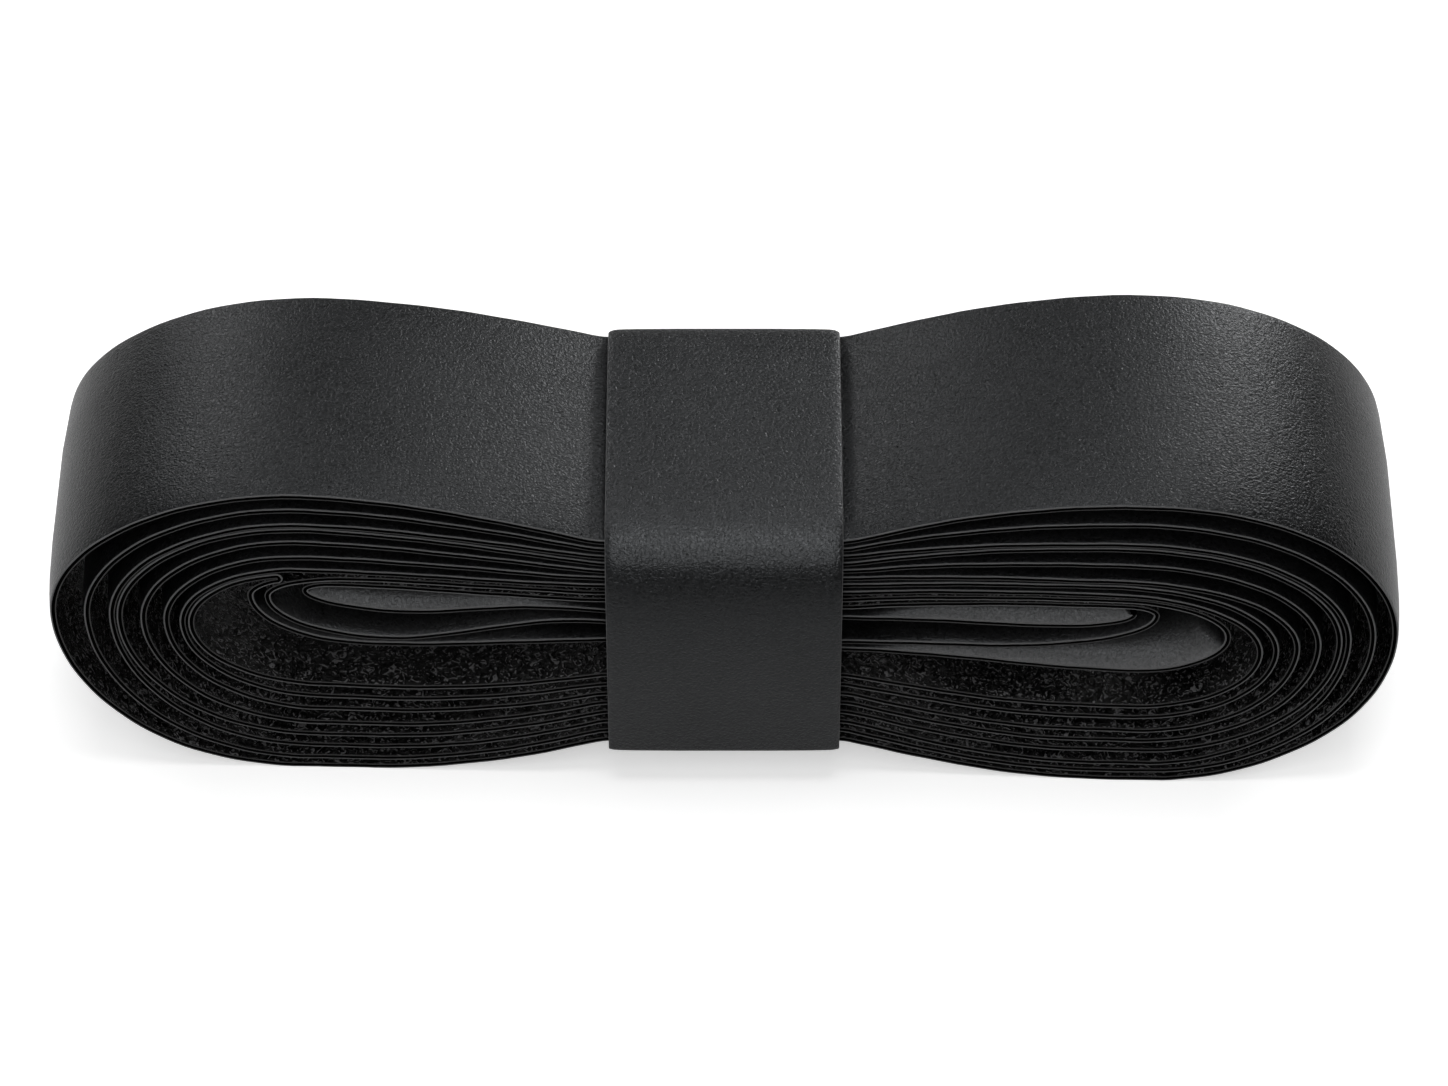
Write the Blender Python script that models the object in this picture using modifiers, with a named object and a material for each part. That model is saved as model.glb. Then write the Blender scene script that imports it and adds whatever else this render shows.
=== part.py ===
"""A roll of bicycle handlebar tape, wound flat and pinched at the waist by a short band.

The tape is one long strip. It starts under the band on top, winds clockwise inward (seen from
the front, along +Y) with its smooth side out, folds back on itself at the end of the last turn,
and fills the middle with three looser loops wound the other way. The band is a second, short
strip of the same material, wrapped once round the waist and glued to itself underneath.

X runs along the roll, Y across the tape's width, Z up. The roll lies on Z = 0. Metres.
"""
import math
from collections import namedtuple

import bmesh
import bpy

# Driving dimensions of the strip
TAPE_WIDTH = 0.0300
TAPE_THICKNESS = 0.00065
TURNS = 8

# Outer size of the wound roll
HALF_LENGTH = 0.0711
LEFT_HEIGHT = 0.0425
RIGHT_HEIGHT = 0.0439
WAIST_TOP = 0.0370
WAIST_BOTTOM = 0.0055
REST_FLAT = 0.0070

# How the legs run between the waist and the lobes
LEG_POWER = 1.8
BEND_SOFTNESS = 0.0012
BEND_START = 0.0008

# The band
BAND_WIDTH = 0.0248
BAND_THICKNESS = 0.00065
BAND_CLEARANCE_ABOVE = 0.00105
BAND_CLEARANCE_BELOW = 0.00025
BAND_CLEARANCE_UPPER_SIDE = 0.00115
BAND_CLEARANCE_LOWER_SIDE = 0.00035
BAND_UPPER_CORNER = 0.0030
BAND_LOWER_CORNER = 0.0007
BAND_OVERLAP = 0.0120
BAND_GLUE_GAP = 0.0001
BAND_STEP = 0.0040
BAND_STEP_LEAD = 0.0010

# The lobes lean a little against each other: near edges slide and sink on the right
EDGE_SLIDE = 0.00108
EDGE_TWIST = 0.00056
LEAN_RUN = 0.0400
LEAN_FOOT = 0.0010
LEAN_RISE = 0.0150

# Clear gaps between one turn and the next, from the outermost pair inward
UPPER_LEFT_GAPS = (0.00147, 0.00160, 0.00013, 0.00122, 0.00160, 0.00130, 0.00015)
UPPER_RIGHT_GAPS = (0.00215, 0.00235, 0.00013, 0.00175, 0.00185, 0.00025, 0.00060)
LEFT_END_GAPS = (0.00290, 0.00195, 0.00016, 0.00185, 0.00175, 0.00105, 0.00025)
RIGHT_END_GAPS = (0.00165, 0.00190, 0.00030, 0.00155, 0.00155, 0.00155, 0.00105)
LOWER_LEFT_GAPS = (0.00075, 0.00125, 0.00115, 0.00115, 0.00155, 0.00125, 0.00115)
LOWER_RIGHT_GAPS = (0.00062, 0.00065, 0.00145, 0.00105, 0.00105, 0.00165, 0.00115)
WAIST_UPPER_GAP = 0.00045
WAIST_LOWER_GAP = 0.00082
TOUCH_GAP = 0.00014

# Where the outer end stops and where each upper leg steps down one level, both under the band
OUTER_END_X = -0.0038
STEP_FROM_X = -0.0105
STEP_TO_X = -0.0050

# Fineness of the path: samples on a curve and on a long leg, then what is kept of them
SAMPLES = 160
LEG_SAMPLES = 640
MAX_TURN = math.radians(4.8)
MAX_STEP = 0.0048
CORNER_STEPS = 8
SHARP_ANGLE = math.radians(40.0)

# A lobe: which side, its outer height, the gaps that build it inward, and for the outermost and
# innermost turn the height of the end and how far the crest and the floor lie behind the end
Lobe = namedtuple("Lobe", "sign height upper_gaps end_gaps lower_gaps end_z crest_reach floor_reach")
LEFT = Lobe(-1, LEFT_HEIGHT, UPPER_LEFT_GAPS, LEFT_END_GAPS, LOWER_LEFT_GAPS,
            (0.0238, 0.0224), (0.0271, 0.0118), (0.0252, 0.0135))
RIGHT = Lobe(1, RIGHT_HEIGHT, UPPER_RIGHT_GAPS, RIGHT_END_GAPS, LOWER_RIGHT_GAPS,
             (0.0234, 0.0210), (0.0268, 0.0157), (0.0250, 0.0132))

# The fold that ends the last turn: how far it lies behind that turn's left end, and how full the
# curve is that leads from it to the first inner tip, as a multiple of that curve's height
FOLD_SETBACK = 0.0093
FIRST_TIP_ROUNDNESS = 1.6

# An inner loop's end: how far its tip lies behind the innermost turn's end, how far the tip and
# the floor lie below the innermost turn's crest, and the reach of its upper and lower curve
LoopEnd = namedtuple("LoopEnd", "setback tip_drop floor_drop upper_reach lower_reach")
B_LEFT = LoopEnd(0.0065, 0.00325, 0.01025, 0.0028, 0.0117)
B_RIGHT = LoopEnd(0.0035, 0.00635, 0.01165, 0.0122, 0.0102)
C_LEFT = LoopEnd(0.0083, 0.00335, 0.00925, 0.0099, 0.0119)
C_RIGHT = LoopEnd(0.0112, 0.00290, 0.00865, 0.0035, 0.0210)
A_LEFT = LoopEnd(0.0123, 0.00235, 0.00495, 0.0030, 0.0104)
A_RIGHT = LoopEnd(0.0136, 0.00275, 0.00505, 0.0, 0.0100)

# Height of each inner loop under the band, as drops below the one above it, left and right
A_WAIST_DROP = (0.00125, 0.00150)
C_WAIST_DROP = (0.00200, 0.00390)
B_WAIST_DROP = (0.00300, 0.00105)
# Where each inner lower leg levels out beside the band, left and right of it
LANDING_X = {"B": (-0.0120, 0.0080), "C": (-0.0160, 0.0100), "A": (-0.0200, 0.0000)}
# The second inner upper leg hangs a little lower on the left, under the first one
SECOND_UPPER_DROP = 0.00100
FIRST_UPPER_DROP = 0.00105


def ease(value):
    """Smooth step: 0 at and below 0, 1 at and above 1."""
    value = min(max(value, 0.0), 1.0)
    return value * value * (3.0 - 2.0 * value)


def depth(gaps, turn):
    """Distance from the outermost turn's centre line to this turn's, through the gaps."""
    return sum(gaps[:turn - 1]) + (turn - 1) * TAPE_THICKNESS


def between(lobe, pair, turn):
    """A value that goes from the outermost turn's to the innermost's as the turns' ends move in."""
    share = depth(lobe.end_gaps, turn) / depth(lobe.end_gaps, TURNS)
    return pair[0] + (pair[1] - pair[0]) * share


def end_x(lobe, turn):
    """Distance of a turn's end from the middle, at the strip's centre line."""
    return HALF_LENGTH - TAPE_THICKNESS / 2 - depth(lobe.end_gaps, turn)


def crest_z(lobe, turn):
    return lobe.height - TAPE_THICKNESS / 2 - depth(lobe.upper_gaps, turn)


def floor_z(lobe, turn):
    return TAPE_THICKNESS / 2 + depth(lobe.lower_gaps, turn)


def past_band(x):
    """How far a place lies outside the band's edge, turning smoothly up from zero."""
    over = abs(x) - BAND_WIDTH / 2 - BEND_START
    return (over + math.hypot(over, BEND_SOFTNESS)) / 2


def leg_z(x, waist, lobe_height, lobe_x):
    """Height of a leg that is held at the waist and eases out to its height at lobe_x."""
    left_to_go = max(0.0, 1.0 - past_band(x) / past_band(lobe_x))
    return lobe_height + (waist - lobe_height) * left_to_go ** LEG_POWER


def spread(start, stop, count=SAMPLES):
    return [start + (stop - start) * i / count for i in range(count + 1)]


def quarter(centre_x, tip_x, tip_z, side_z, outward):
    """A quarter ellipse between (centre_x, side_z) and the tip, drawn towards the tip if outward."""
    angles = spread(90.0, 0.0) if outward else spread(0.0, 90.0)
    return [(centre_x + (tip_x - centre_x) * math.cos(math.radians(a)),
             tip_z + (side_z - tip_z) * math.sin(math.radians(a))) for a in angles]


def upper_waist_z(level):
    """Height of the strip under the band, counted in levels from the top."""
    return WAIST_TOP - TAPE_THICKNESS / 2 - (level - 1) * (TAPE_THICKNESS + WAIST_UPPER_GAP)


def upper_leg(level, left, right, xs):
    """An upper leg through the band. It lies one level lower on the right of the step.

    left and right are (crest height, crest distance from the middle).
    """
    points = []
    for x in xs:
        waist = upper_waist_z(level + ease((x - STEP_FROM_X) / (STEP_TO_X - STEP_FROM_X)))
        crest, reach = left if x < 0 else right
        points.append((x, leg_z(x, waist, crest, reach)))
    return points


def main_crest(lobe, turn):
    """Height of a turn's crest and its distance from the middle."""
    return crest_z(lobe, turn), end_x(lobe, turn) - between(lobe, lobe.crest_reach, turn)


def main_end(lobe, turn, downward):
    """The rounded end of a turn, crest to floor if downward, else floor to crest."""
    tip = end_x(lobe, turn) * lobe.sign
    tip_z = between(lobe, lobe.end_z, turn)
    crest_x = tip - lobe.sign * between(lobe, lobe.crest_reach, turn)
    floor_x = tip - lobe.sign * between(lobe, lobe.floor_reach, turn)
    down = (quarter(crest_x, tip, tip_z, crest_z(lobe, turn), True)
            + quarter(floor_x, tip, tip_z, floor_z(lobe, turn), False)[1:])
    return down if downward else down[::-1]


def rest_flat(lobe, turn):
    """The two ends of a turn's flat floor: the outer one, then the one nearer the middle."""
    outer = end_x(lobe, turn) - between(lobe, lobe.floor_reach, turn)
    z = floor_z(lobe, turn)
    return [(lobe.sign * outer, z), (lobe.sign * (outer - REST_FLAT), z)]


def main_lower_leg(turn):
    """The leg under the middle, right to left, flat where the roll rests."""
    waist = WAIST_BOTTOM + TAPE_THICKNESS / 2 + (turn - 1) * (TAPE_THICKNESS + WAIST_LOWER_GAP)
    right, left = rest_flat(RIGHT, turn), rest_flat(LEFT, turn)
    points = list(right)
    for x in spread(right[1][0], left[1][0], LEG_SAMPLES)[1:-1]:
        lobe_x, lobe_z = right[1] if x > 0 else left[1]
        points.append((x, leg_z(x, waist, lobe_z, abs(lobe_x))))
    return points + left[::-1]


def loop_tip(lobe, loop_end):
    """Tip of an inner loop: x, z, and the height of its floor."""
    crest = crest_z(lobe, TURNS)
    x = lobe.sign * (end_x(lobe, TURNS) - loop_end.setback)
    return x, crest - loop_end.tip_drop, crest - loop_end.floor_drop


def loop_lower_leg(name, left_end, right_end, left_waist, right_waist):
    """An inner loop's lower leg, left to right, raised where it passes the band."""
    left_tip, _, left_floor = loop_tip(LEFT, left_end)
    right_tip, _, right_floor = loop_tip(RIGHT, right_end)
    start = left_tip + left_end.lower_reach
    stop = right_tip - right_end.lower_reach
    land_left, land_right = LANDING_X[name]
    points = []
    for x in spread(start, stop, LEG_SAMPLES):
        rise = ease((x - start) / (land_left - start))
        cross = ease((x - land_left) / (land_right - land_left))
        fall = ease((x - land_right) / (stop - land_right))
        z = left_floor + (left_waist - left_floor) * rise + (right_waist - left_waist) * cross
        points.append((x, z + (right_floor - right_waist) * fall))
    return points


def lower_curve(lobe, loop_end, outward):
    """An inner loop's lower quarter, floor to tip if outward."""
    tip_x, tip_z, floor = loop_tip(lobe, loop_end)
    return quarter(tip_x - lobe.sign * loop_end.lower_reach, tip_x, tip_z, floor, outward)


def upper_curve(lobe, loop_end, crest, outward):
    """An inner loop's upper quarter, crest to tip if outward."""
    tip_x, tip_z, _ = loop_tip(lobe, loop_end)
    return quarter(tip_x - lobe.sign * loop_end.upper_reach, tip_x, tip_z, crest, outward)


def hermite(start, start_pull, stop, stop_pull):
    """A smooth curve that leaves and arrives along the two given pulls."""
    points = []
    for u in spread(0.0, 1.0):
        weights = (2 * u**3 - 3 * u**2 + 1, u**3 - 2 * u**2 + u, 3 * u**2 - 2 * u**3, u**3 - u**2)
        knots = (start, start_pull, stop, stop_pull)
        points.append(tuple(sum(w * k[i] for w, k in zip(weights, knots)) for i in range(2)))
    return points


def main_turns():
    """The outer end, the full turns, and the last turn as far as its fold."""
    path = upper_leg(0, main_crest(RIGHT, 1), main_crest(RIGHT, 1),
                     spread(OUTER_END_X, main_crest(RIGHT, 1)[1]))
    for turn in range(1, TURNS + 1):
        path += main_end(RIGHT, turn, True)[1:]
        path += main_lower_leg(turn)[1:]
        rising = main_end(LEFT, turn, False)[1:]
        if turn == TURNS:
            fold_x = -(end_x(LEFT, TURNS) - FOLD_SETBACK)
            path += [p for p in rising if p[0] < fold_x or p[1] < between(LEFT, LEFT.end_z, turn)]
            break
        path += rising
        left, right = main_crest(LEFT, turn), main_crest(RIGHT, turn + 1)
        path += upper_leg(turn, left, right, spread(-left[1], right[1], LEG_SAMPLES))[1:]
    return path


def fold_and_first_tip(path):
    """The tight fold back to the left, then down to the tip of the first inner loop."""
    (x0, z0), (x1, z1) = path[-2:]
    heading = math.atan2(z1 - z0, x1 - x0)
    radius = (TAPE_THICKNESS + TOUCH_GAP) / 2
    centre = (x1 + radius * math.sin(heading), z1 - radius * math.cos(heading))
    fold = []
    for turned in spread(0.0, math.pi):
        angle = heading + math.pi / 2 - turned
        fold.append((centre[0] + radius * math.cos(angle), centre[1] + radius * math.sin(angle)))
    tip_x, tip_z, _ = loop_tip(LEFT, B_LEFT)
    pull = fold[-1][0] - tip_x
    back = (-pull * math.cos(heading), -pull * math.sin(heading))
    drop = FIRST_TIP_ROUNDNESS * (fold[-1][1] - tip_z)
    return fold + hermite(fold[-1], back, (tip_x, tip_z), (0.0, -drop))[1:]


def inner_loops():
    """Three nested loops, wound the other way, from the first tip to the tape's inner end."""
    first_left = crest_z(LEFT, TURNS - 1) - FIRST_UPPER_DROP
    second_left = first_left - SECOND_UPPER_DROP
    touch = TAPE_THICKNESS + TOUCH_GAP
    first_right = crest_z(RIGHT, TURNS) - touch
    second_right = first_right - touch - TOUCH_GAP / 2
    waist_a = (upper_waist_z(TURNS + 1) - A_WAIST_DROP[0], upper_waist_z(TURNS + 2) - A_WAIST_DROP[1])
    waist_c = (waist_a[0] - C_WAIST_DROP[0], waist_a[1] - C_WAIST_DROP[1])
    waist_b = (waist_c[0] - B_WAIST_DROP[0], waist_c[1] - B_WAIST_DROP[1])

    def upper_back(level, left_end, left_crest, right_end, right_crest):
        """An upper leg from the right loop's crest back to the left loop's."""
        left_x = -loop_tip(LEFT, left_end)[0] - left_end.upper_reach
        right_x = loop_tip(RIGHT, right_end)[0] - right_end.upper_reach
        xs = spread(right_x, -left_x, LEG_SAMPLES)
        return upper_leg(level, (left_crest, left_x), (right_crest, right_x), xs)

    path = lower_curve(LEFT, B_LEFT, False)
    path += loop_lower_leg("B", B_LEFT, B_RIGHT, *waist_b)[1:]
    path += lower_curve(RIGHT, B_RIGHT, True)[1:]
    path += upper_curve(RIGHT, B_RIGHT, first_right, False)[1:]
    path += upper_back(TURNS, C_LEFT, first_left, B_RIGHT, first_right)[1:]
    path += upper_curve(LEFT, C_LEFT, first_left, True)[1:]
    path += lower_curve(LEFT, C_LEFT, False)[1:]
    path += loop_lower_leg("C", C_LEFT, C_RIGHT, *waist_c)[1:]
    path += lower_curve(RIGHT, C_RIGHT, True)[1:]
    path += upper_curve(RIGHT, C_RIGHT, second_right, False)[1:]
    path += upper_back(TURNS + 1, A_LEFT, second_left, C_RIGHT, second_right)[1:]
    path += upper_curve(LEFT, A_LEFT, second_left, True)[1:]
    path += lower_curve(LEFT, A_LEFT, False)[1:]
    path += loop_lower_leg("A", A_LEFT, A_RIGHT, *waist_a)[1:]
    path += lower_curve(RIGHT, A_RIGHT, True)[1:]
    return path


def thin_out(points):
    """Keeps a point where the path has turned by MAX_TURN or run for MAX_STEP, and every flat's ends."""
    flat_ends = {p for turn in range(1, TURNS + 1) for lobe in (LEFT, RIGHT) for p in rest_flat(lobe, turn)}
    kept = [points[0]]
    heading = None
    for previous, point, following in zip(points, points[1:], points[2:]):
        ahead = math.atan2(following[1] - point[1], following[0] - point[0])
        if heading is None:
            heading = math.atan2(point[1] - previous[1], point[0] - previous[0])
        turned = abs(math.remainder(ahead - heading, math.tau))
        long_enough = math.dist(point, kept[-1]) >= MAX_STEP
        if turned >= MAX_TURN or long_enough or point in flat_ends:
            kept.append(point)
            heading = None
    kept.append(points[-1])
    return kept


def lean(x, y, z):
    """Slides and tilts the lobes against each other, fading to nothing at the waist and the foot."""
    side = math.copysign(ease((abs(x) - BAND_WIDTH / 2) / LEAN_RUN), x)
    lift = EDGE_TWIST * side * ease((z - LEAN_FOOT) / LEAN_RISE)
    return x, y - EDGE_SLIDE * side, z + lift * y / (TAPE_WIDTH / 2)


def ribbon_mesh(name, edge, across):
    """An open surface: one long edge drawn as a chain and extruded across to the other."""
    work = bmesh.new()
    chain = [work.verts.new(point) for point in edge]
    runs = [work.edges.new(pair) for pair in zip(chain, chain[1:])]
    swept = bmesh.ops.extrude_edge_only(work, edges=runs)["geom"]
    moved = [item for item in swept if isinstance(item, bmesh.types.BMVert)]
    bmesh.ops.translate(work, verts=moved, vec=across)
    mesh = bpy.data.meshes.new(name + "_ribbon")
    work.to_mesh(mesh)
    work.free()
    return mesh


def add_strip(name, ribbon, thickness, material, collection):
    """A strip: the ribbon thickened evenly to both sides."""
    carrier = bpy.data.objects.new(ribbon.name, ribbon)
    collection.objects.link(carrier)
    solidify = carrier.modifiers.new("thickness", "SOLIDIFY")
    solidify.thickness = thickness
    solidify.offset = 0.0
    solidify.use_even_offset = True
    graph = bpy.context.evaluated_depsgraph_get()
    solid = bpy.data.meshes.new_from_object(carrier.evaluated_get(graph))
    solid.name = name
    bpy.data.objects.remove(carrier)
    solid.shade_smooth()
    solid.set_sharp_from_angle(angle=SHARP_ANGLE)
    solid.materials.clear()
    solid.materials.append(material)
    strip = bpy.data.objects.new(name, solid)
    collection.objects.link(strip)
    return strip


def add_material(name, colour, roughness):
    material = bpy.data.materials.new(name)
    material.use_nodes = True
    shader = material.node_tree.nodes["Principled BSDF"]
    shader.inputs["Base Color"].default_value = (*colour, 1.0)
    shader.inputs["Roughness"].default_value = roughness
    shader.inputs["Metallic"].default_value = 0.0
    return material


def add_tape(collection):
    """The wound tape, one continuous strip."""
    path = main_turns()
    path += fold_and_first_tip(path)[1:]
    path += inner_loops()[1:]
    near_edge = [(x, -TAPE_WIDTH / 2, z) for x, z in thin_out(path)]
    ribbon = ribbon_mesh("tape_roll", near_edge, (0.0, TAPE_WIDTH, 0.0))
    for vertex in ribbon.vertices:
        vertex.co = lean(*vertex.co)
    material = add_material("tape", (0.035, 0.036, 0.037), 0.55)
    return add_strip("tape_roll", ribbon, TAPE_THICKNESS, material, collection)


def rounded_corner(before, corner, after, radius):
    """The arc that rounds a corner of a closed line, in the order in which the line runs."""
    turn_in = math.atan2(corner[1] - before[1], corner[0] - before[0])
    turn_out = math.atan2(after[1] - corner[1], after[0] - corner[0])
    turned = math.remainder(turn_out - turn_in, math.tau)
    setback = radius * math.tan(abs(turned) / 2)
    side = math.copysign(radius, turned)
    centre = (corner[0] - setback * math.cos(turn_in) - side * math.sin(turn_in),
              corner[1] - setback * math.sin(turn_in) + side * math.cos(turn_in))
    headings = spread(turn_in, turn_in + turned, CORNER_STEPS)
    return [(centre[0] + side * math.sin(a), centre[1] - side * math.cos(a)) for a in headings]


def band_path():
    """The band's centre line in (y, z): once round the waist, then under its own start.

    The stiff strip bends softly over the tape's upper edges and closely round its lower ones.
    """
    half = BAND_THICKNESS / 2
    top = WAIST_TOP + BAND_CLEARANCE_ABOVE + half
    bottom = WAIST_BOTTOM - BAND_CLEARANCE_BELOW - half
    upper_side = TAPE_WIDTH / 2 + BAND_CLEARANCE_UPPER_SIDE + half
    lower_side = TAPE_WIDTH / 2 + BAND_CLEARANCE_LOWER_SIDE + half
    corners = ((-lower_side, bottom), (-upper_side, top), (upper_side, top), (lower_side, bottom))
    radii = [corner + half for corner in (BAND_LOWER_CORNER, BAND_UPPER_CORNER, BAND_UPPER_CORNER,
                                          BAND_LOWER_CORNER)]
    under = BAND_THICKNESS + BAND_GLUE_GAP
    start = BAND_OVERLAP / 2
    path = [(start, bottom)]
    for i, radius in enumerate(radii):
        path += rounded_corner(corners[i - 1], corners[i], corners[(i + 1) % 4], radius)
    for u in spread(0.0, 1.0, CORNER_STEPS):
        path.append((start + BAND_STEP_LEAD + BAND_STEP * (1.0 - u), bottom - under * ease(u)))
    path.append((-start, bottom - under))
    return path


def add_band(collection):
    """The short strip round the waist."""
    left_edge = [(-BAND_WIDTH / 2, y, z) for y, z in band_path()]
    ribbon = ribbon_mesh("tape_band", left_edge, (BAND_WIDTH, 0.0, 0.0))
    material = add_material("band", (0.040, 0.041, 0.042), 0.50)
    return add_strip("tape_band", ribbon, BAND_THICKNESS, material, collection)


def main():
    for old in list(bpy.data.objects):
        bpy.data.objects.remove(old, do_unlink=True)
    collection = bpy.data.collections.new("handlebar_tape_roll")
    bpy.context.scene.collection.children.link(collection)
    add_tape(collection)
    add_band(collection)


main()
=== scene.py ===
"""Looks of the roll of handlebar tape: the wound strip and its band with grain, backing and cut
edges, on a white studio floor. Both pieces are lofted along the strips of the CAD solids.

X runs along the roll, Y across the tape's width away from the camera, Z up. Metres.
"""
import math

import bmesh
import bpy
import numpy as np
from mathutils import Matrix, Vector


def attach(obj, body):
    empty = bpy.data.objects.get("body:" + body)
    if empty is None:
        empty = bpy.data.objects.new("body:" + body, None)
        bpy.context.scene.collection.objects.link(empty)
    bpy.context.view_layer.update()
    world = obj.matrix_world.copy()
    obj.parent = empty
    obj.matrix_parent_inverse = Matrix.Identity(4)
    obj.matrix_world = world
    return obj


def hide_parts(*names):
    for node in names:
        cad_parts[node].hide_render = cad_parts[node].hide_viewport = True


# Reading a strip off its solid: its long edges are sharp, and it starts at the end nearest to a
# point, which is high above the roll for the tape and under the waist for the band
WELD = 0.000001
SHARP = math.radians(60.0)
TAPE_START = Vector((0.0, 0.0, 1.0))
BAND_START = Vector((0.0, 0.0060, 0.0046))

# Chords that stay straight: those that rise less than this, and those so many times longer than
# their neighbour
LEVEL = 0.000002
LONG_CHORD = 3.0

# Fineness along the lofted strips. Their long lines lie at shares of the width from the near edge,
# in the order in which a section is gone round
TURN_STEP = math.radians(2.8)
LENGTH_STEP = 0.0018
TAPE_LINES = (0.008, 0.035, 0.075, 0.14, 0.30, 0.75, 0.96, 0.992)
BAND_LINES = (0.006, 0.014, 0.026, 0.042, 0.065, 0.12, 0.30,
              0.70, 0.88, 0.935, 0.958, 0.974, 0.986, 0.994)
BACKING_LINES = (0.990, 0.84, 0.50, 0.16, 0.010)

# Section of a cut edge from the skin to the backing, as (how far in, share of the thickness from
# the middle): the skin's lip, the sunk foam core, and the backing's lip
CUT_EDGE = ((0.00008, 0.50), (0.00002, 0.46), (0.0, 0.37), (0.00002, 0.24), (0.00014, 0.18),
            (0.00014, -0.24), (0.00003, -0.30), (0.0, -0.40), (0.00002, -0.47), (0.00008, -0.50))
CORE_FACES = (3, 4, 5)

# Material slots of both strips
SKIN, BACKING, LIP, CORE = range(4)

# Slight unevenness of the tape's cut edges: three waves, whose rates are shares of the first one's
WANDER = 0.00006
WANDER_LENGTH = 0.0130
WANDER_RATES = (1.0, 2.3, 0.37)
WANDER_SHIFT = 1.7

# Both strips bulge across their width. The tape's bulge fades as its skin turns to the ground
TAPE_CROWN = 0.00050
BAND_CROWN = 0.00010
CROWN_POWER = 4.0
CROWN_FADE = 0.90

# Some lower legs of the loose inner loops droop at the open side, away from the waist. A leg is
# where the skin faces up, and the shares are for the left and the right lobe, from the fold inwards
DROOP = 0.00240
DROOP_POWER = 9.0
DROOP_FROM_X = 0.0140
DROOP_FULL_X = 0.0240
DROOP_SHARES = ((0.15, 1.0), (0.15, 0.10), (0.75, 0.90))
LEG_FROM = 0.30
LEG_FULL = 0.80
FOLD_LENGTH = 0.0040

# The pulled band is a little full between its corners, its edges turn down onto the tape, and its
# upper bends fade out softly
BAND_EDGE_TURN = 0.00032
BAND_EDGE_POWER = 34.0
BAND_TOP_BULGE = 0.00025
BAND_SIDE_BULGE = 0.00030
BEND_LIFT = 0.00010
BEND_SOFTNESS = 0.0022
BEND_FROM_Z = 0.0120
BEND_FULL_Z = 0.0200
BEND_TOP_Z = 0.0370
BEND_FADE = 0.0110
BEND_SLOPE = 0.50

# Skin: noises with their cells to the metre, bumps in metres, and shares of the shade at two values
# of the mottle, which is the grain with some clouds in it
SKIN_SHADE = (0.0056, 0.0057, 0.0060)
SKIN_TINT = (0.93, 0.965, 1.0)
SKIN_ROUGHNESS = 0.21
SKIN_ROUGHNESS_SPREAD = 0.20
TAPE_SPECULAR = 0.30
BAND_SPECULAR = 0.39
GRAIN = dict(scale=3100.0, detail=2.0, twist=0.7)
GRAIN_BUMP = 0.000105
PITS = dict(scale=6200.0, detail=1.0)
PIT_BUMP = 0.000020
CLOUDS = dict(scale=90.0, detail=2.0)
CLOUD_SHARE = 0.25
MOTTLE = ((0.38, 0.15), (0.62, 1.85))

# The drooping legs are painted lighter towards the near edge: painted light, where light falls in at the
# loops' open side
PAINTED_LIGHT_COLOUR = (0.120, 0.121, 0.123)
PAINTED_LIGHT_FADE = 0.0024
PAINTED_LIGHT_SPECKLE = 1.9

# Backing: glossy strokes broken up by fibres, black where both are low. The strokes' pale colour is a
# painted sheen, and the near black is a painted shade inside the turns, darker than the backing's own
# black
STROKES = dict(scale=1150.0, detail=1.0, twist=2.2)
FIBRES = dict(scale=3800.0, detail=2.0, roughness=0.6)
FIBRE_SHARE = 0.3
BACKING_SHEEN_AND_SHADE = ((0.73, (0.0003, 0.0003, 0.0003)), (0.79, (0.13, 0.13, 0.133)))
BACKING_BUMP = 0.00060
BACKING_ROUGHNESS = 0.22
BACKING_SPECULAR = 0.25

# Cut edge: shades of the two lips by their place through the thickness, nicked darker and brighter. The
# skin's lip is lighter: partly its own grey, partly a painted highlight line where its rounded corner
# catches the light
LIP_SHADES_AND_HIGHLIGHT = ((0.2, (0.026, 0.026, 0.0265)), (0.8, (0.100, 0.101, 0.103)))
NICKS = dict(scale=1300.0, detail=3.0, roughness=0.65)
NICK_SHARES = ((0.38, 0.35), (0.64, 1.7))
NICK_BUMP = 0.00006
LIP_ROUGHNESS = 0.36
LIP_SPECULAR = 0.60
CORE_SHADE = (0.0008, 0.0008, 0.0008)

WHITE = (1.0, 1.0, 1.0)
MATT = 0.9

# White ground, with the light that it adds for the camera alone
FLOOR_RADIUS = 2.5
FLOOR_SIDES = 96
FLOOR_SHADE = (0.86, 0.86, 0.86)
FLOOR_LIFT = 0.50

# Lamps: name, azimuth from the back towards the right, elevation, distance, size, watts
LAMPS = (("overhead", 180, 88, 0.75, (0.40, 0.30), 2.20),
         ("front_high", 180, 62, 0.75, (0.40, 0.22), 0.75),
         ("front", 180, 45, 0.75, (0.40, 0.20), 1.00),
         ("back_high", 20, 55, 0.75, (0.20, 0.20), 0.55),
         ("back_right", 30, 44, 0.75, (0.20, 0.20), 0.25),
         ("back_right_low", 30, 20, 0.75, (0.20, 0.20), 1.65),
         ("back_left", -45, 56, 0.75, (0.20, 0.20), 0.42),
         ("back_left_low", -30, 26, 0.75, (0.20, 0.20), 0.76),
         ("back_low", 0, 25, 0.75, (0.50, 0.15), 0.12),
         ("front_left_low", -125, 35, 0.75, (0.20, 0.20), 0.35),
         ("side_left", -90, 10, 0.75, (0.25, 0.20), 0.35))
WORLD_STRENGTH = 0.01

# Camera, with its sensor and lens in millimetres
TARGET = Vector((0.0, 0.0, 0.020645))
DISTANCE = 0.64907
ELEVATION = math.radians(47.21)
LENS = 150.04
SENSOR = 36.0
NEAREST, FARTHEST = 0.01, 20.0


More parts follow.
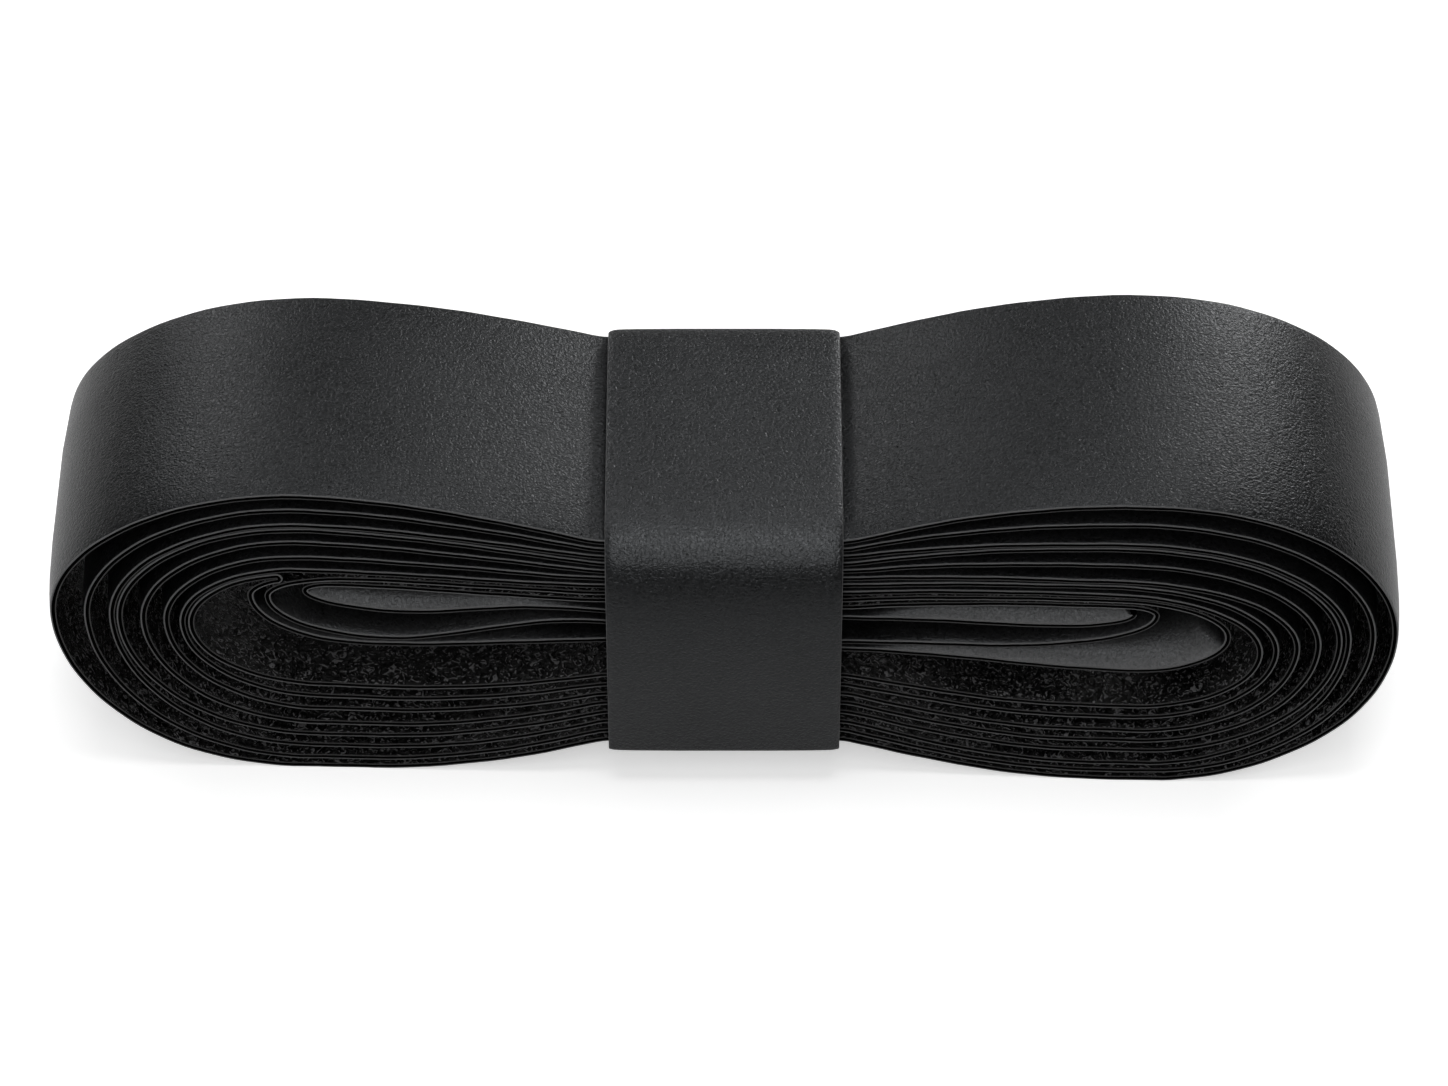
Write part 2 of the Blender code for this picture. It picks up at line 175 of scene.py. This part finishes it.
def strip_edges(node, start):
    """The strip's four long edges as chains of points, read off the CAD solid from its end near start."""
    work = bmesh.new()
    work.from_mesh(node.data)
    bmesh.ops.remove_doubles(work, verts=work.verts, dist=WELD)
    links = {}
    for edge in work.edges:
        if edge.calc_face_angle(0.0) > SHARP:
            a, b = edge.verts
            links.setdefault(a, []).append(b)
            links.setdefault(b, []).append(a)
    corners = [v for v, linked in links.items() if len(linked) == 3]
    corners.sort(key=lambda v: (v.co - start).length)
    chains = []
    for corner in corners[:4]:
        chain = [corner]
        onward = next(v for v in links[corner] if len(links[v]) == 2)
        while len(links[onward]) == 2:
            chain.append(onward)
            onward = next(v for v in links[onward] if v is not chain[-2])
        chain.append(onward)
        chains.append(np.array([v.co for v in chain]))
    work.free()
    return chains


def pair_up(skin, backing):
    """The backing's chain with one point for each of the skin's: inside a tight fold some are merged."""
    spare = len(skin) - len(backing)
    paired, j = [backing[0]], 0
    for point in skin[1:]:
        ahead = backing[min(j + 1, len(backing) - 1)]
        if spare and np.linalg.norm(point - backing[j]) < np.linalg.norm(point - ahead):
            spare -= 1
        else:
            j += 1
        paired.append(backing[j])
    return np.array(paired)


def order_chains(chains, across, outward):
    """The four chains as near skin, near backing, far skin, far backing, judged at the start."""
    across, outward = np.array(across), np.array(outward)
    by_side = sorted(chains, key=lambda chain: chain[0] @ across)
    near = sorted(by_side[:2], key=lambda chain: -(chain[0] @ outward))
    far = sorted(by_side[2:], key=lambda chain: -(chain[0] @ outward))
    return [near[0], pair_up(*near), far[0], pair_up(*far)]


def tangent_shares(chords, lengths):
    """How much each point's tangent follows the chord after it, and not the one before it."""
    level = np.abs(chords[:, 2]) < LEVEL
    shares = np.ones(len(chords) + 1)
    for i in range(1, len(chords)):
        before, after = lengths[i - 1], lengths[i]
        if level[i - 1] or before > LONG_CHORD * after:
            shares[i] = 0.0
        elif not level[i] and after <= LONG_CHORD * before:
            shares[i] = before / (before + after)
    shares[-1] = 0.0
    return shares


def step_counts(chords, lengths):
    """How many steps each chord is cut into, by its length and the turns at its two ends."""
    ways = chords / lengths[:, None]
    turns = np.arccos(np.clip(np.sum(ways[1:] * ways[:-1], axis=1), -1, 1))
    turns = np.concatenate(([0.0], turns, [0.0]))
    most_turn = np.maximum(turns[:-1], turns[1:])
    counts = np.maximum(np.ceil(lengths / LENGTH_STEP), np.ceil(most_turn / TURN_STEP))
    return np.maximum(counts, 1).astype(int)


def smooth_chains(chains):
    """The chains made finer along a smooth curve that doesn't dip into the ground, at height 0."""
    chords = np.diff(sum(chains) / 4, axis=0)
    lengths = np.linalg.norm(chords, axis=1)
    shares = tangent_shares(chords, lengths)[:, None]
    counts = step_counts(chords, lengths)
    fine = []
    for chain in chains:
        slopes = np.diff(chain, axis=0) / lengths[:, None]
        before, after = np.vstack((slopes[:1], slopes)), np.vstack((slopes, slopes[-1:]))
        bends = before * (1 - shares) + after * shares
        pieces = []
        for i, count in enumerate(counts):
            u = (np.arange(count) / count)[:, None]
            start = (2 * u**3 - 3 * u**2 + 1) * chain[i] + (u**3 - 2 * u**2 + u) * lengths[i] * bends[i]
            end = (3 * u**2 - 2 * u**3) * chain[i + 1] + (u**3 - u**2) * lengths[i] * bends[i + 1]
            pieces.append(start + end)
        line = np.vstack((*pieces, chain[-1:]))
        line[:, 2] = np.maximum(line[:, 2], 0.0)
        fine.append(line)
    return fine


def ease(value):
    """Smooth step: 0 at and below 0, 1 at and above 1."""
    value = np.clip(value, 0.0, 1.0)
    return value * value * (3.0 - 2.0 * value)


def facing(chains):
    """The way the skin faces at each section."""
    out = chains[0] - chains[1] + chains[2] - chains[3]
    return out / np.linalg.norm(out, axis=1)[:, None]


def run_along(chains):
    """How far along the strip each section lies."""
    middle = sum(chains) / 4
    return np.concatenate(([0.0], np.cumsum(np.linalg.norm(np.diff(middle, axis=0), axis=1))))


def relax_band(chains):
    """The band rounded by its own tension: a little full on top and at the sides, with soft bends."""
    outward = facing(chains)
    centre = sum(chains) / 4
    low, high = centre.min(axis=0), centre.max(axis=0)
    middle, half = (low + high) / 2, (high - low) / 2
    y, z = (np.clip((centre - middle)[:, k] / half[k], -1.0, 1.0) for k in (1, 2))
    bulge = BAND_TOP_BULGE * np.maximum(outward[:, 2], 0.0) * (1 - y ** 2)
    bulge += BAND_SIDE_BULGE * np.abs(outward[:, 1]) * (1 - z ** 2)
    upper = ease((centre[:, 2] - BEND_FROM_Z) / (BEND_FULL_Z - BEND_FROM_Z))
    moved = [chain + outward * (bulge + BEND_LIFT * upper)[:, None] for chain in chains]
    run = run_along(moved)
    apart = (run[:, None] - run[None, :]) / BEND_SOFTNESS
    nearness = np.exp(-apart ** 2 / 2) * np.gradient(run)[None, :]
    nearness /= nearness.sum(axis=1)[:, None]
    return [chain + (nearness @ chain - chain) * upper[:, None] for chain in moved]


def fold_place(chains):
    """How far along the strip it folds back: where it turns most sharply."""
    run = run_along(chains)
    middle = sum(chains) / 4
    heading = np.unwrap(np.arctan2(np.gradient(middle[:, 2]), np.gradient(middle[:, 0])))
    return float(run[np.argmax(np.abs(np.gradient(heading)) / np.gradient(run))])


def droops(chains):
    """How much each section droops at the open side: some of the inner loops' lower legs do."""
    x = (sum(chains) / 4)[:, 0]
    past_fold = run_along(chains) > fold_place(chains) + FOLD_LENGTH
    skin_up = ease((facing(chains)[:, 2] - LEG_FROM) / (LEG_FULL - LEG_FROM)) * past_fold
    legs = np.cumsum(np.diff(skin_up > 0, prepend=False) & (skin_up > 0)) - 1
    left, right = np.array(DROOP_SHARES)[np.clip(legs, 0, len(DROOP_SHARES) - 1)].T
    away = ease((np.abs(x) - DROOP_FROM_X) / (DROOP_FULL_X - DROOP_FROM_X))
    return skin_up * away * np.where(x < 0, left, right)


def section_points(width, lines):
    """The points round a section, from the near edge's backing lip over the skin.

    Each is its share of the width from the near edge, its share of the thickness from the middle, the
    cut edge that it is on (1 near, -1 far, 0 neither) and the material of the face that follows it.
    """
    points = []
    for side, edge, flat, height, surface in ((1, CUT_EDGE[::-1], lines, 0.5, SKIN),
                                              (-1, CUT_EDGE, BACKING_LINES, -0.5, BACKING)):
        faces = [CORE if j in CORE_FACES else LIP for j in range(len(edge) - 1)]
        for (depth, share), face in zip(edge, (*faces, surface)):
            points.append((depth / width if side > 0 else 1 - depth / width, share, side, face))
        points += [(across, height, 0, surface) for across in flat]
    return points


def edge_steps(run, side, wander):
    """How far the cut edge on one side steps in along the strip, from nothing to twice wander."""
    shift = WANDER_SHIFT if side < 0 else 0.0
    waves = [np.sin(2 * math.pi / WANDER_LENGTH * rate * run + shift + k)
             for k, rate in enumerate(WANDER_RATES)]
    return side * wander * (1 + sum(waves) / len(waves))


def loft(name, chains, lines, crowns, droop, wander, materials):
    """A strip lofted through its four long edges, crowned across, with lips at each cut edge.

    lines are the skin's long lines, crowns the (rise, power) pairs that bulge each section, and droop
    is kept at each point for the skin's colour.
    """
    near_skin, near_back, far_skin, far_back = chains
    near, far = (near_skin + near_back) / 2, (far_skin + far_back) / 2
    out_near, out_far = near_skin - near_back, far_skin - far_back
    outward = facing(chains)
    width = float(np.linalg.norm(far - near, axis=1).mean())
    run = run_along(chains)
    points = section_points(width, lines)
    rings = []
    for across, share, side, _ in points:
        bulge = sum(rise * (1 - abs(2 * across - 1) ** power) for rise, power in crowns)
        place = (across + edge_steps(run, side, wander) / width)[:, None]
        rings.append(near + (far - near) * place + (out_near + (out_far - out_near) * place) * share
                     + outward * bulge[:, None])
    marks = [(across * width, share + 0.5, face) for across, share, _, face in points]
    piece = bpy.data.objects.new(name, strip_mesh(name, rings, marks, run, droop))
    bpy.context.scene.collection.objects.link(piece)
    for material in materials:
        piece.data.materials.append(material)
    return piece


def strip_mesh(name, rings, marks, run, droop):
    """The closed mesh through the rings. A ring follows one point of the section along the strip.

    UV "strip" runs along the length and across the width in metres; UV "cut" runs along the length in
    metres and through the thickness, 0 to 1.
    """
    work = bmesh.new()
    strip_uv = work.loops.layers.uv.new("strip")
    cut_uv = work.loops.layers.uv.new("cut")
    droop_layer = work.verts.layers.float.new("droop")
    grid = [[work.verts.new(ring[i]) for ring in rings] for i in range(len(run))]
    for row, amount in zip(grid, droop):
        for vertex in row:
            vertex[droop_layer] = amount
    for i in range(len(run) - 1):
        for j, (_, _, material) in enumerate(marks):
            k = (j + 1) % len(marks)
            corners = ((i, j), (i, k), (i + 1, k), (i + 1, j))
            face = work.faces.new([grid[row][ring] for row, ring in corners])
            face.smooth = True
            face.material_index = material
            for loop, (row, ring) in zip(face.loops, corners):
                loop[strip_uv].uv = (run[row], marks[ring][0])
                loop[cut_uv].uv = (run[row], marks[ring][1])
    for end in (grid[0][::-1], grid[-1]):
        work.faces.new(end).material_index = CORE
    bmesh.ops.recalc_face_normals(work, faces=work.faces)
    mesh = bpy.data.meshes.new(name)
    work.to_mesh(mesh)
    work.free()
    return mesh


class Nodes:
    """Short calls for a material's nodes."""

    def __init__(self, name):
        self.material = bpy.data.materials.new(name)
        self.material.use_nodes = True
        self.tree = self.material.node_tree
        self.shader = self.tree.nodes["Principled BSDF"]

    def add(self, kind, **settings):
        """A node with its settings, each a property of the node or one of its inputs."""
        node = self.tree.nodes.new(kind)
        for key, value in settings.items():
            if hasattr(node, key):
                setattr(node, key, value)
            else:
                node.inputs[key].default_value = value
        return node

    def link(self, output, target):
        self.tree.links.new(output, target)

    def set_finish(self, roughness, specular):
        """Sets what is the same everywhere on the material."""
        self.shader.inputs["Roughness"].default_value = roughness
        self.shader.inputs["Specular IOR Level"].default_value = specular

    def split(self, place):
        """The X, Y and Z of a place."""
        node = self.add("ShaderNodeSeparateXYZ")
        self.link(place, node.inputs["Vector"])
        return node.outputs

    def noise(self, place, scale, detail, roughness=0.5, twist=0.0):
        node = self.add("ShaderNodeTexNoise", Scale=scale, Detail=detail, Roughness=roughness,
                        Distortion=twist)
        self.link(place, node.inputs["Vector"])
        return node.outputs["Fac"]

    def math(self, operation, *values):
        node = self.add("ShaderNodeMath", operation=operation)
        for socket, value in zip(node.inputs, values):
            if isinstance(value, (int, float)):
                socket.default_value = value
            else:
                self.link(value, socket)
        return node.outputs[0]

    def ramp(self, factor, stops):
        node = self.add("ShaderNodeValToRGB")
        for element, (place, colour) in zip(node.color_ramp.elements, stops):
            element.position = place
            element.color = (*colour, 1.0)
        self.link(factor, node.inputs["Fac"])
        return node.outputs["Color"]

    def bump(self, height, distance, below=None):
        node = self.add("ShaderNodeBump", Distance=distance, Strength=1.0)
        self.link(height, node.inputs["Height"])
        if below is not None:
            self.link(below, node.inputs["Normal"])
        return node.outputs["Normal"]


def shaded(stops, shade):
    """Ramp stops in a shade, from (place, share of the shade) pairs."""
    return [(place, tuple(share * c for c in shade)) for place, share in stops]


def lean_back(n, place):
    """Shading for the band's upright faces: they lean back more and more towards the upper bends."""
    depth = n.math("DIVIDE", n.math("SUBTRACT", n.split(place)["Z"], BEND_TOP_Z), BEND_FADE)
    return n.bump(n.math("MULTIPLY", n.math("TANH", depth), -BEND_SLOPE), BEND_FADE)


def painted_edge_light(n, colour, mottle):
    """The colour lightened towards the near edge of drooping legs, in speckles: painted light falling in
    at the loops' open side.
    """
    droop = n.add("ShaderNodeAttribute", attribute_name="droop").outputs["Fac"]
    across = n.split(n.add("ShaderNodeUVMap", uv_map="strip").outputs["UV"])["Y"]
    depth = n.math("EXPONENT", n.math("DIVIDE", across, -PAINTED_LIGHT_FADE))
    speckled = n.math("MULTIPLY", depth, n.math("MULTIPLY", mottle, PAINTED_LIGHT_SPECKLE))
    # Painted light, mixed in by the droop and by the fade from the near edge
    lit_edge = n.add("ShaderNodeMix", data_type="RGBA")
    n.link(n.math("MULTIPLY", droop, speckled), lit_edge.inputs["Factor"])
    n.link(colour, lit_edge.inputs["A"])
    lit_edge.inputs["B"].default_value = (*PAINTED_LIGHT_COLOUR, 1.0)
    return lit_edge.outputs["Result"]


def skin_material(name, specular, bent):
    """Black synthetic leather: fine squiggly grain, a little mottled, satin.

    bent is for the band, which shades softly under its upper bends.
    """
    n = Nodes(name)
    place = n.add("ShaderNodeTexCoord").outputs["Object"]
    grain, pits, clouds = (n.noise(place, **kind) for kind in (GRAIN, PITS, CLOUDS))
    mottle = n.math("ADD", n.math("MULTIPLY", grain, 1 - CLOUD_SHARE),
                    n.math("MULTIPLY", clouds, CLOUD_SHARE))
    # The near edges of drooping legs get painted light
    colour = painted_edge_light(n, n.ramp(mottle, shaded(MOTTLE, SKIN_SHADE)), mottle)
    n.link(colour, n.shader.inputs["Base Color"])
    roughness = n.math("MULTIPLY_ADD", pits, SKIN_ROUGHNESS_SPREAD, SKIN_ROUGHNESS)
    n.link(roughness, n.shader.inputs["Roughness"])
    pitted = n.bump(pits, PIT_BUMP, lean_back(n, place) if bent else None)
    n.link(n.bump(grain, GRAIN_BUMP, pitted), n.shader.inputs["Normal"])
    n.shader.inputs["Specular IOR Level"].default_value = specular
    n.shader.inputs["Specular Tint"].default_value = (*SKIN_TINT, 1.0)
    return n.material


def backing_material():
    """The inner face: a black embossed backing with short glossy strokes, their sheen painted pale into
    the colour and the shade in the turns painted near black.
    """
    n = Nodes("tape_backing")
    place = n.add("ShaderNodeUVMap", uv_map="strip").outputs["UV"]
    strokes, fibres = n.noise(place, **STROKES), n.noise(place, **FIBRES)
    height = n.math("ADD", strokes, n.math("MULTIPLY", fibres, FIBRE_SHARE))
    # Painted sheen on the strokes and painted shade between them
    n.link(n.ramp(height, BACKING_SHEEN_AND_SHADE), n.shader.inputs["Base Color"])
    n.link(n.bump(height, BACKING_BUMP), n.shader.inputs["Normal"])
    n.set_finish(BACKING_ROUGHNESS, BACKING_SPECULAR)
    return n.material


def lip_material():
    """The two thin lips of a cut edge: the skin's is lighter, partly a painted highlight line, and nicks
    break both into dashes.
    """
    n = Nodes("tape_cut_lip")
    place = n.add("ShaderNodeUVMap", uv_map="cut").outputs["UV"]
    nicks = n.noise(place, **NICKS)
    mixed = n.add("ShaderNodeMix", data_type="RGBA", blend_type="MULTIPLY")
    mixed.inputs["Factor"].default_value = 1.0
    # The skin's lip made lighter, partly a painted highlight line
    n.link(n.ramp(n.split(place)["Y"], LIP_SHADES_AND_HIGHLIGHT), mixed.inputs["A"])
    n.link(n.ramp(nicks, shaded(NICK_SHARES, WHITE)), mixed.inputs["B"])
    n.link(mixed.outputs["Result"], n.shader.inputs["Base Color"])
    n.link(n.bump(nicks, NICK_BUMP), n.shader.inputs["Normal"])
    n.set_finish(LIP_ROUGHNESS, LIP_SPECULAR)
    return n.material


def core_material():
    """The sunk black foam between the lips."""
    n = Nodes("tape_core")
    n.shader.inputs["Base Color"].default_value = (*CORE_SHADE, 1.0)
    n.set_finish(MATT, 0.0)
    return n.material


def floor_material():
    """White paper that stays pure white to the camera and keeps the shadow."""
    n = Nodes("floor_white")
    n.shader.inputs["Base Color"].default_value = (*FLOOR_SHADE, 1.0)
    n.set_finish(MATT, 0.0)
    lift = n.add("ShaderNodeEmission", Color=(*WHITE, 1.0))
    seen = n.add("ShaderNodeLightPath").outputs["Is Camera Ray"]
    n.link(n.math("MULTIPLY", seen, FLOOR_LIFT), lift.inputs["Strength"])
    total = n.add("ShaderNodeAddShader")
    n.link(n.shader.outputs["BSDF"], total.inputs[0])
    n.link(lift.outputs["Emission"], total.inputs[1])
    n.link(total.outputs["Shader"], n.tree.nodes["Material Output"].inputs["Surface"])
    return n.material


def add_floor():
    """The ground that the roll lies on, at height 0."""
    bpy.ops.mesh.primitive_circle_add(vertices=FLOOR_SIDES, radius=FLOOR_RADIUS, fill_type="NGON",
                                      location=(0, 0, 0))
    floor = bpy.context.object
    floor.name = "floor"
    floor.data.materials.append(floor_material())


def add_softbox(name, azimuth, elevation, distance, size, watts):
    """A rectangular lamp turned to the roll."""
    light = bpy.data.lights.new(name, "AREA")
    light.shape = "RECTANGLE"
    light.size, light.size_y = size
    light.energy = watts
    lamp = bpy.data.objects.new(name, light)
    bpy.context.scene.collection.objects.link(lamp)
    a, e = math.radians(azimuth), math.radians(elevation)
    aim(lamp, Vector((math.sin(a) * math.cos(e), math.cos(a) * math.cos(e), math.sin(e))), distance)


def aim(thing, way, distance):
    """Puts a lamp or the camera some way off from the target, turned to it."""
    thing.location = TARGET + way * distance
    thing.rotation_mode = "QUATERNION"
    thing.rotation_quaternion = (-way).to_track_quat("-Z", "Y")


def set_world(strength):
    """A white surround: pure white to the camera, softer as a light."""
    world = bpy.data.worlds.new("studio")
    world.use_nodes = True
    bpy.context.scene.world = world
    tree = world.node_tree
    background = tree.nodes["Background"]
    background.inputs["Color"].default_value = (*WHITE, 1.0)
    path = tree.nodes.new("ShaderNodeLightPath")
    mix = tree.nodes.new("ShaderNodeMix")
    mix.inputs["A"].default_value = strength
    mix.inputs["B"].default_value = 1.0
    tree.links.new(path.outputs["Is Camera Ray"], mix.inputs["Factor"])
    tree.links.new(mix.outputs["Result"], background.inputs["Strength"])


def add_camera():
    """The photograph's camera, as fitted to the tape's edges, in front of the roll and above it."""
    data = bpy.data.cameras.new("camera")
    data.lens = LENS
    data.sensor_width = SENSOR
    data.clip_start, data.clip_end = NEAREST, FARTHEST
    camera = bpy.data.objects.new("camera", data)
    bpy.context.scene.collection.objects.link(camera)
    aim(camera, Vector((0.0, -math.cos(ELEVATION), math.sin(ELEVATION))), DISTANCE)
    bpy.context.scene.camera = camera


def add_tape(node, inner_materials):
    """The wound tape, near edge to the front, skin out at its start on top."""
    chains = order_chains(strip_edges(node, TAPE_START), across=(0, 1, 0), outward=(0, 0, 1))
    chains = smooth_chains(chains)
    droop = droops(chains)
    crown = TAPE_CROWN * ease(1 + facing(chains)[:, 2] / CROWN_FADE)
    crowns = ((crown, CROWN_POWER), (DROOP * droop, DROOP_POWER))
    skin = skin_material("tape_skin", TAPE_SPECULAR, bent=False)
    return loft("wound_tape", chains, TAPE_LINES, crowns, droop, WANDER, (skin, *inner_materials))


def add_band(node, inner_materials):
    """The band round the waist. Its edges turn down everywhere but underneath."""
    chains = order_chains(strip_edges(node, BAND_START), across=(1, 0, 0), outward=(0, 0, -1))
    chains = relax_band(smooth_chains(chains))
    turn = BAND_EDGE_TURN * ease(1 + facing(chains)[:, 2])
    crowns = ((BAND_CROWN, CROWN_POWER), (turn, BAND_EDGE_POWER))
    skin = skin_material("band_skin", BAND_SPECULAR, bent=True)
    flat = np.zeros(len(turn))
    return loft("waist_band", chains, BAND_LINES, crowns, flat, 0.0, (skin, *inner_materials))


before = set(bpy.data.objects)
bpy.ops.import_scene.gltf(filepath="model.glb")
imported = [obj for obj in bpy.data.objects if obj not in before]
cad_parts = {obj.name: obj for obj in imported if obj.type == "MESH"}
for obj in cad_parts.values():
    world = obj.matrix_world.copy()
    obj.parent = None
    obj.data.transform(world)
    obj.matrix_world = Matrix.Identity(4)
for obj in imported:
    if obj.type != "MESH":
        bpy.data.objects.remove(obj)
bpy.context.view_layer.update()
add_camera()

inner_materials = (backing_material(), lip_material(), core_material())

tape = add_tape(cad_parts["tape_roll"], inner_materials)
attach(tape, "root")
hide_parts("tape_roll")

band = add_band(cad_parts["tape_band"], inner_materials)
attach(band, "root")
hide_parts("tape_band")

add_floor()
set_world(WORLD_STRENGTH)
for lamp in LAMPS:
    add_softbox(*lamp)
bpy.context.scene.view_settings.view_transform = "Standard"
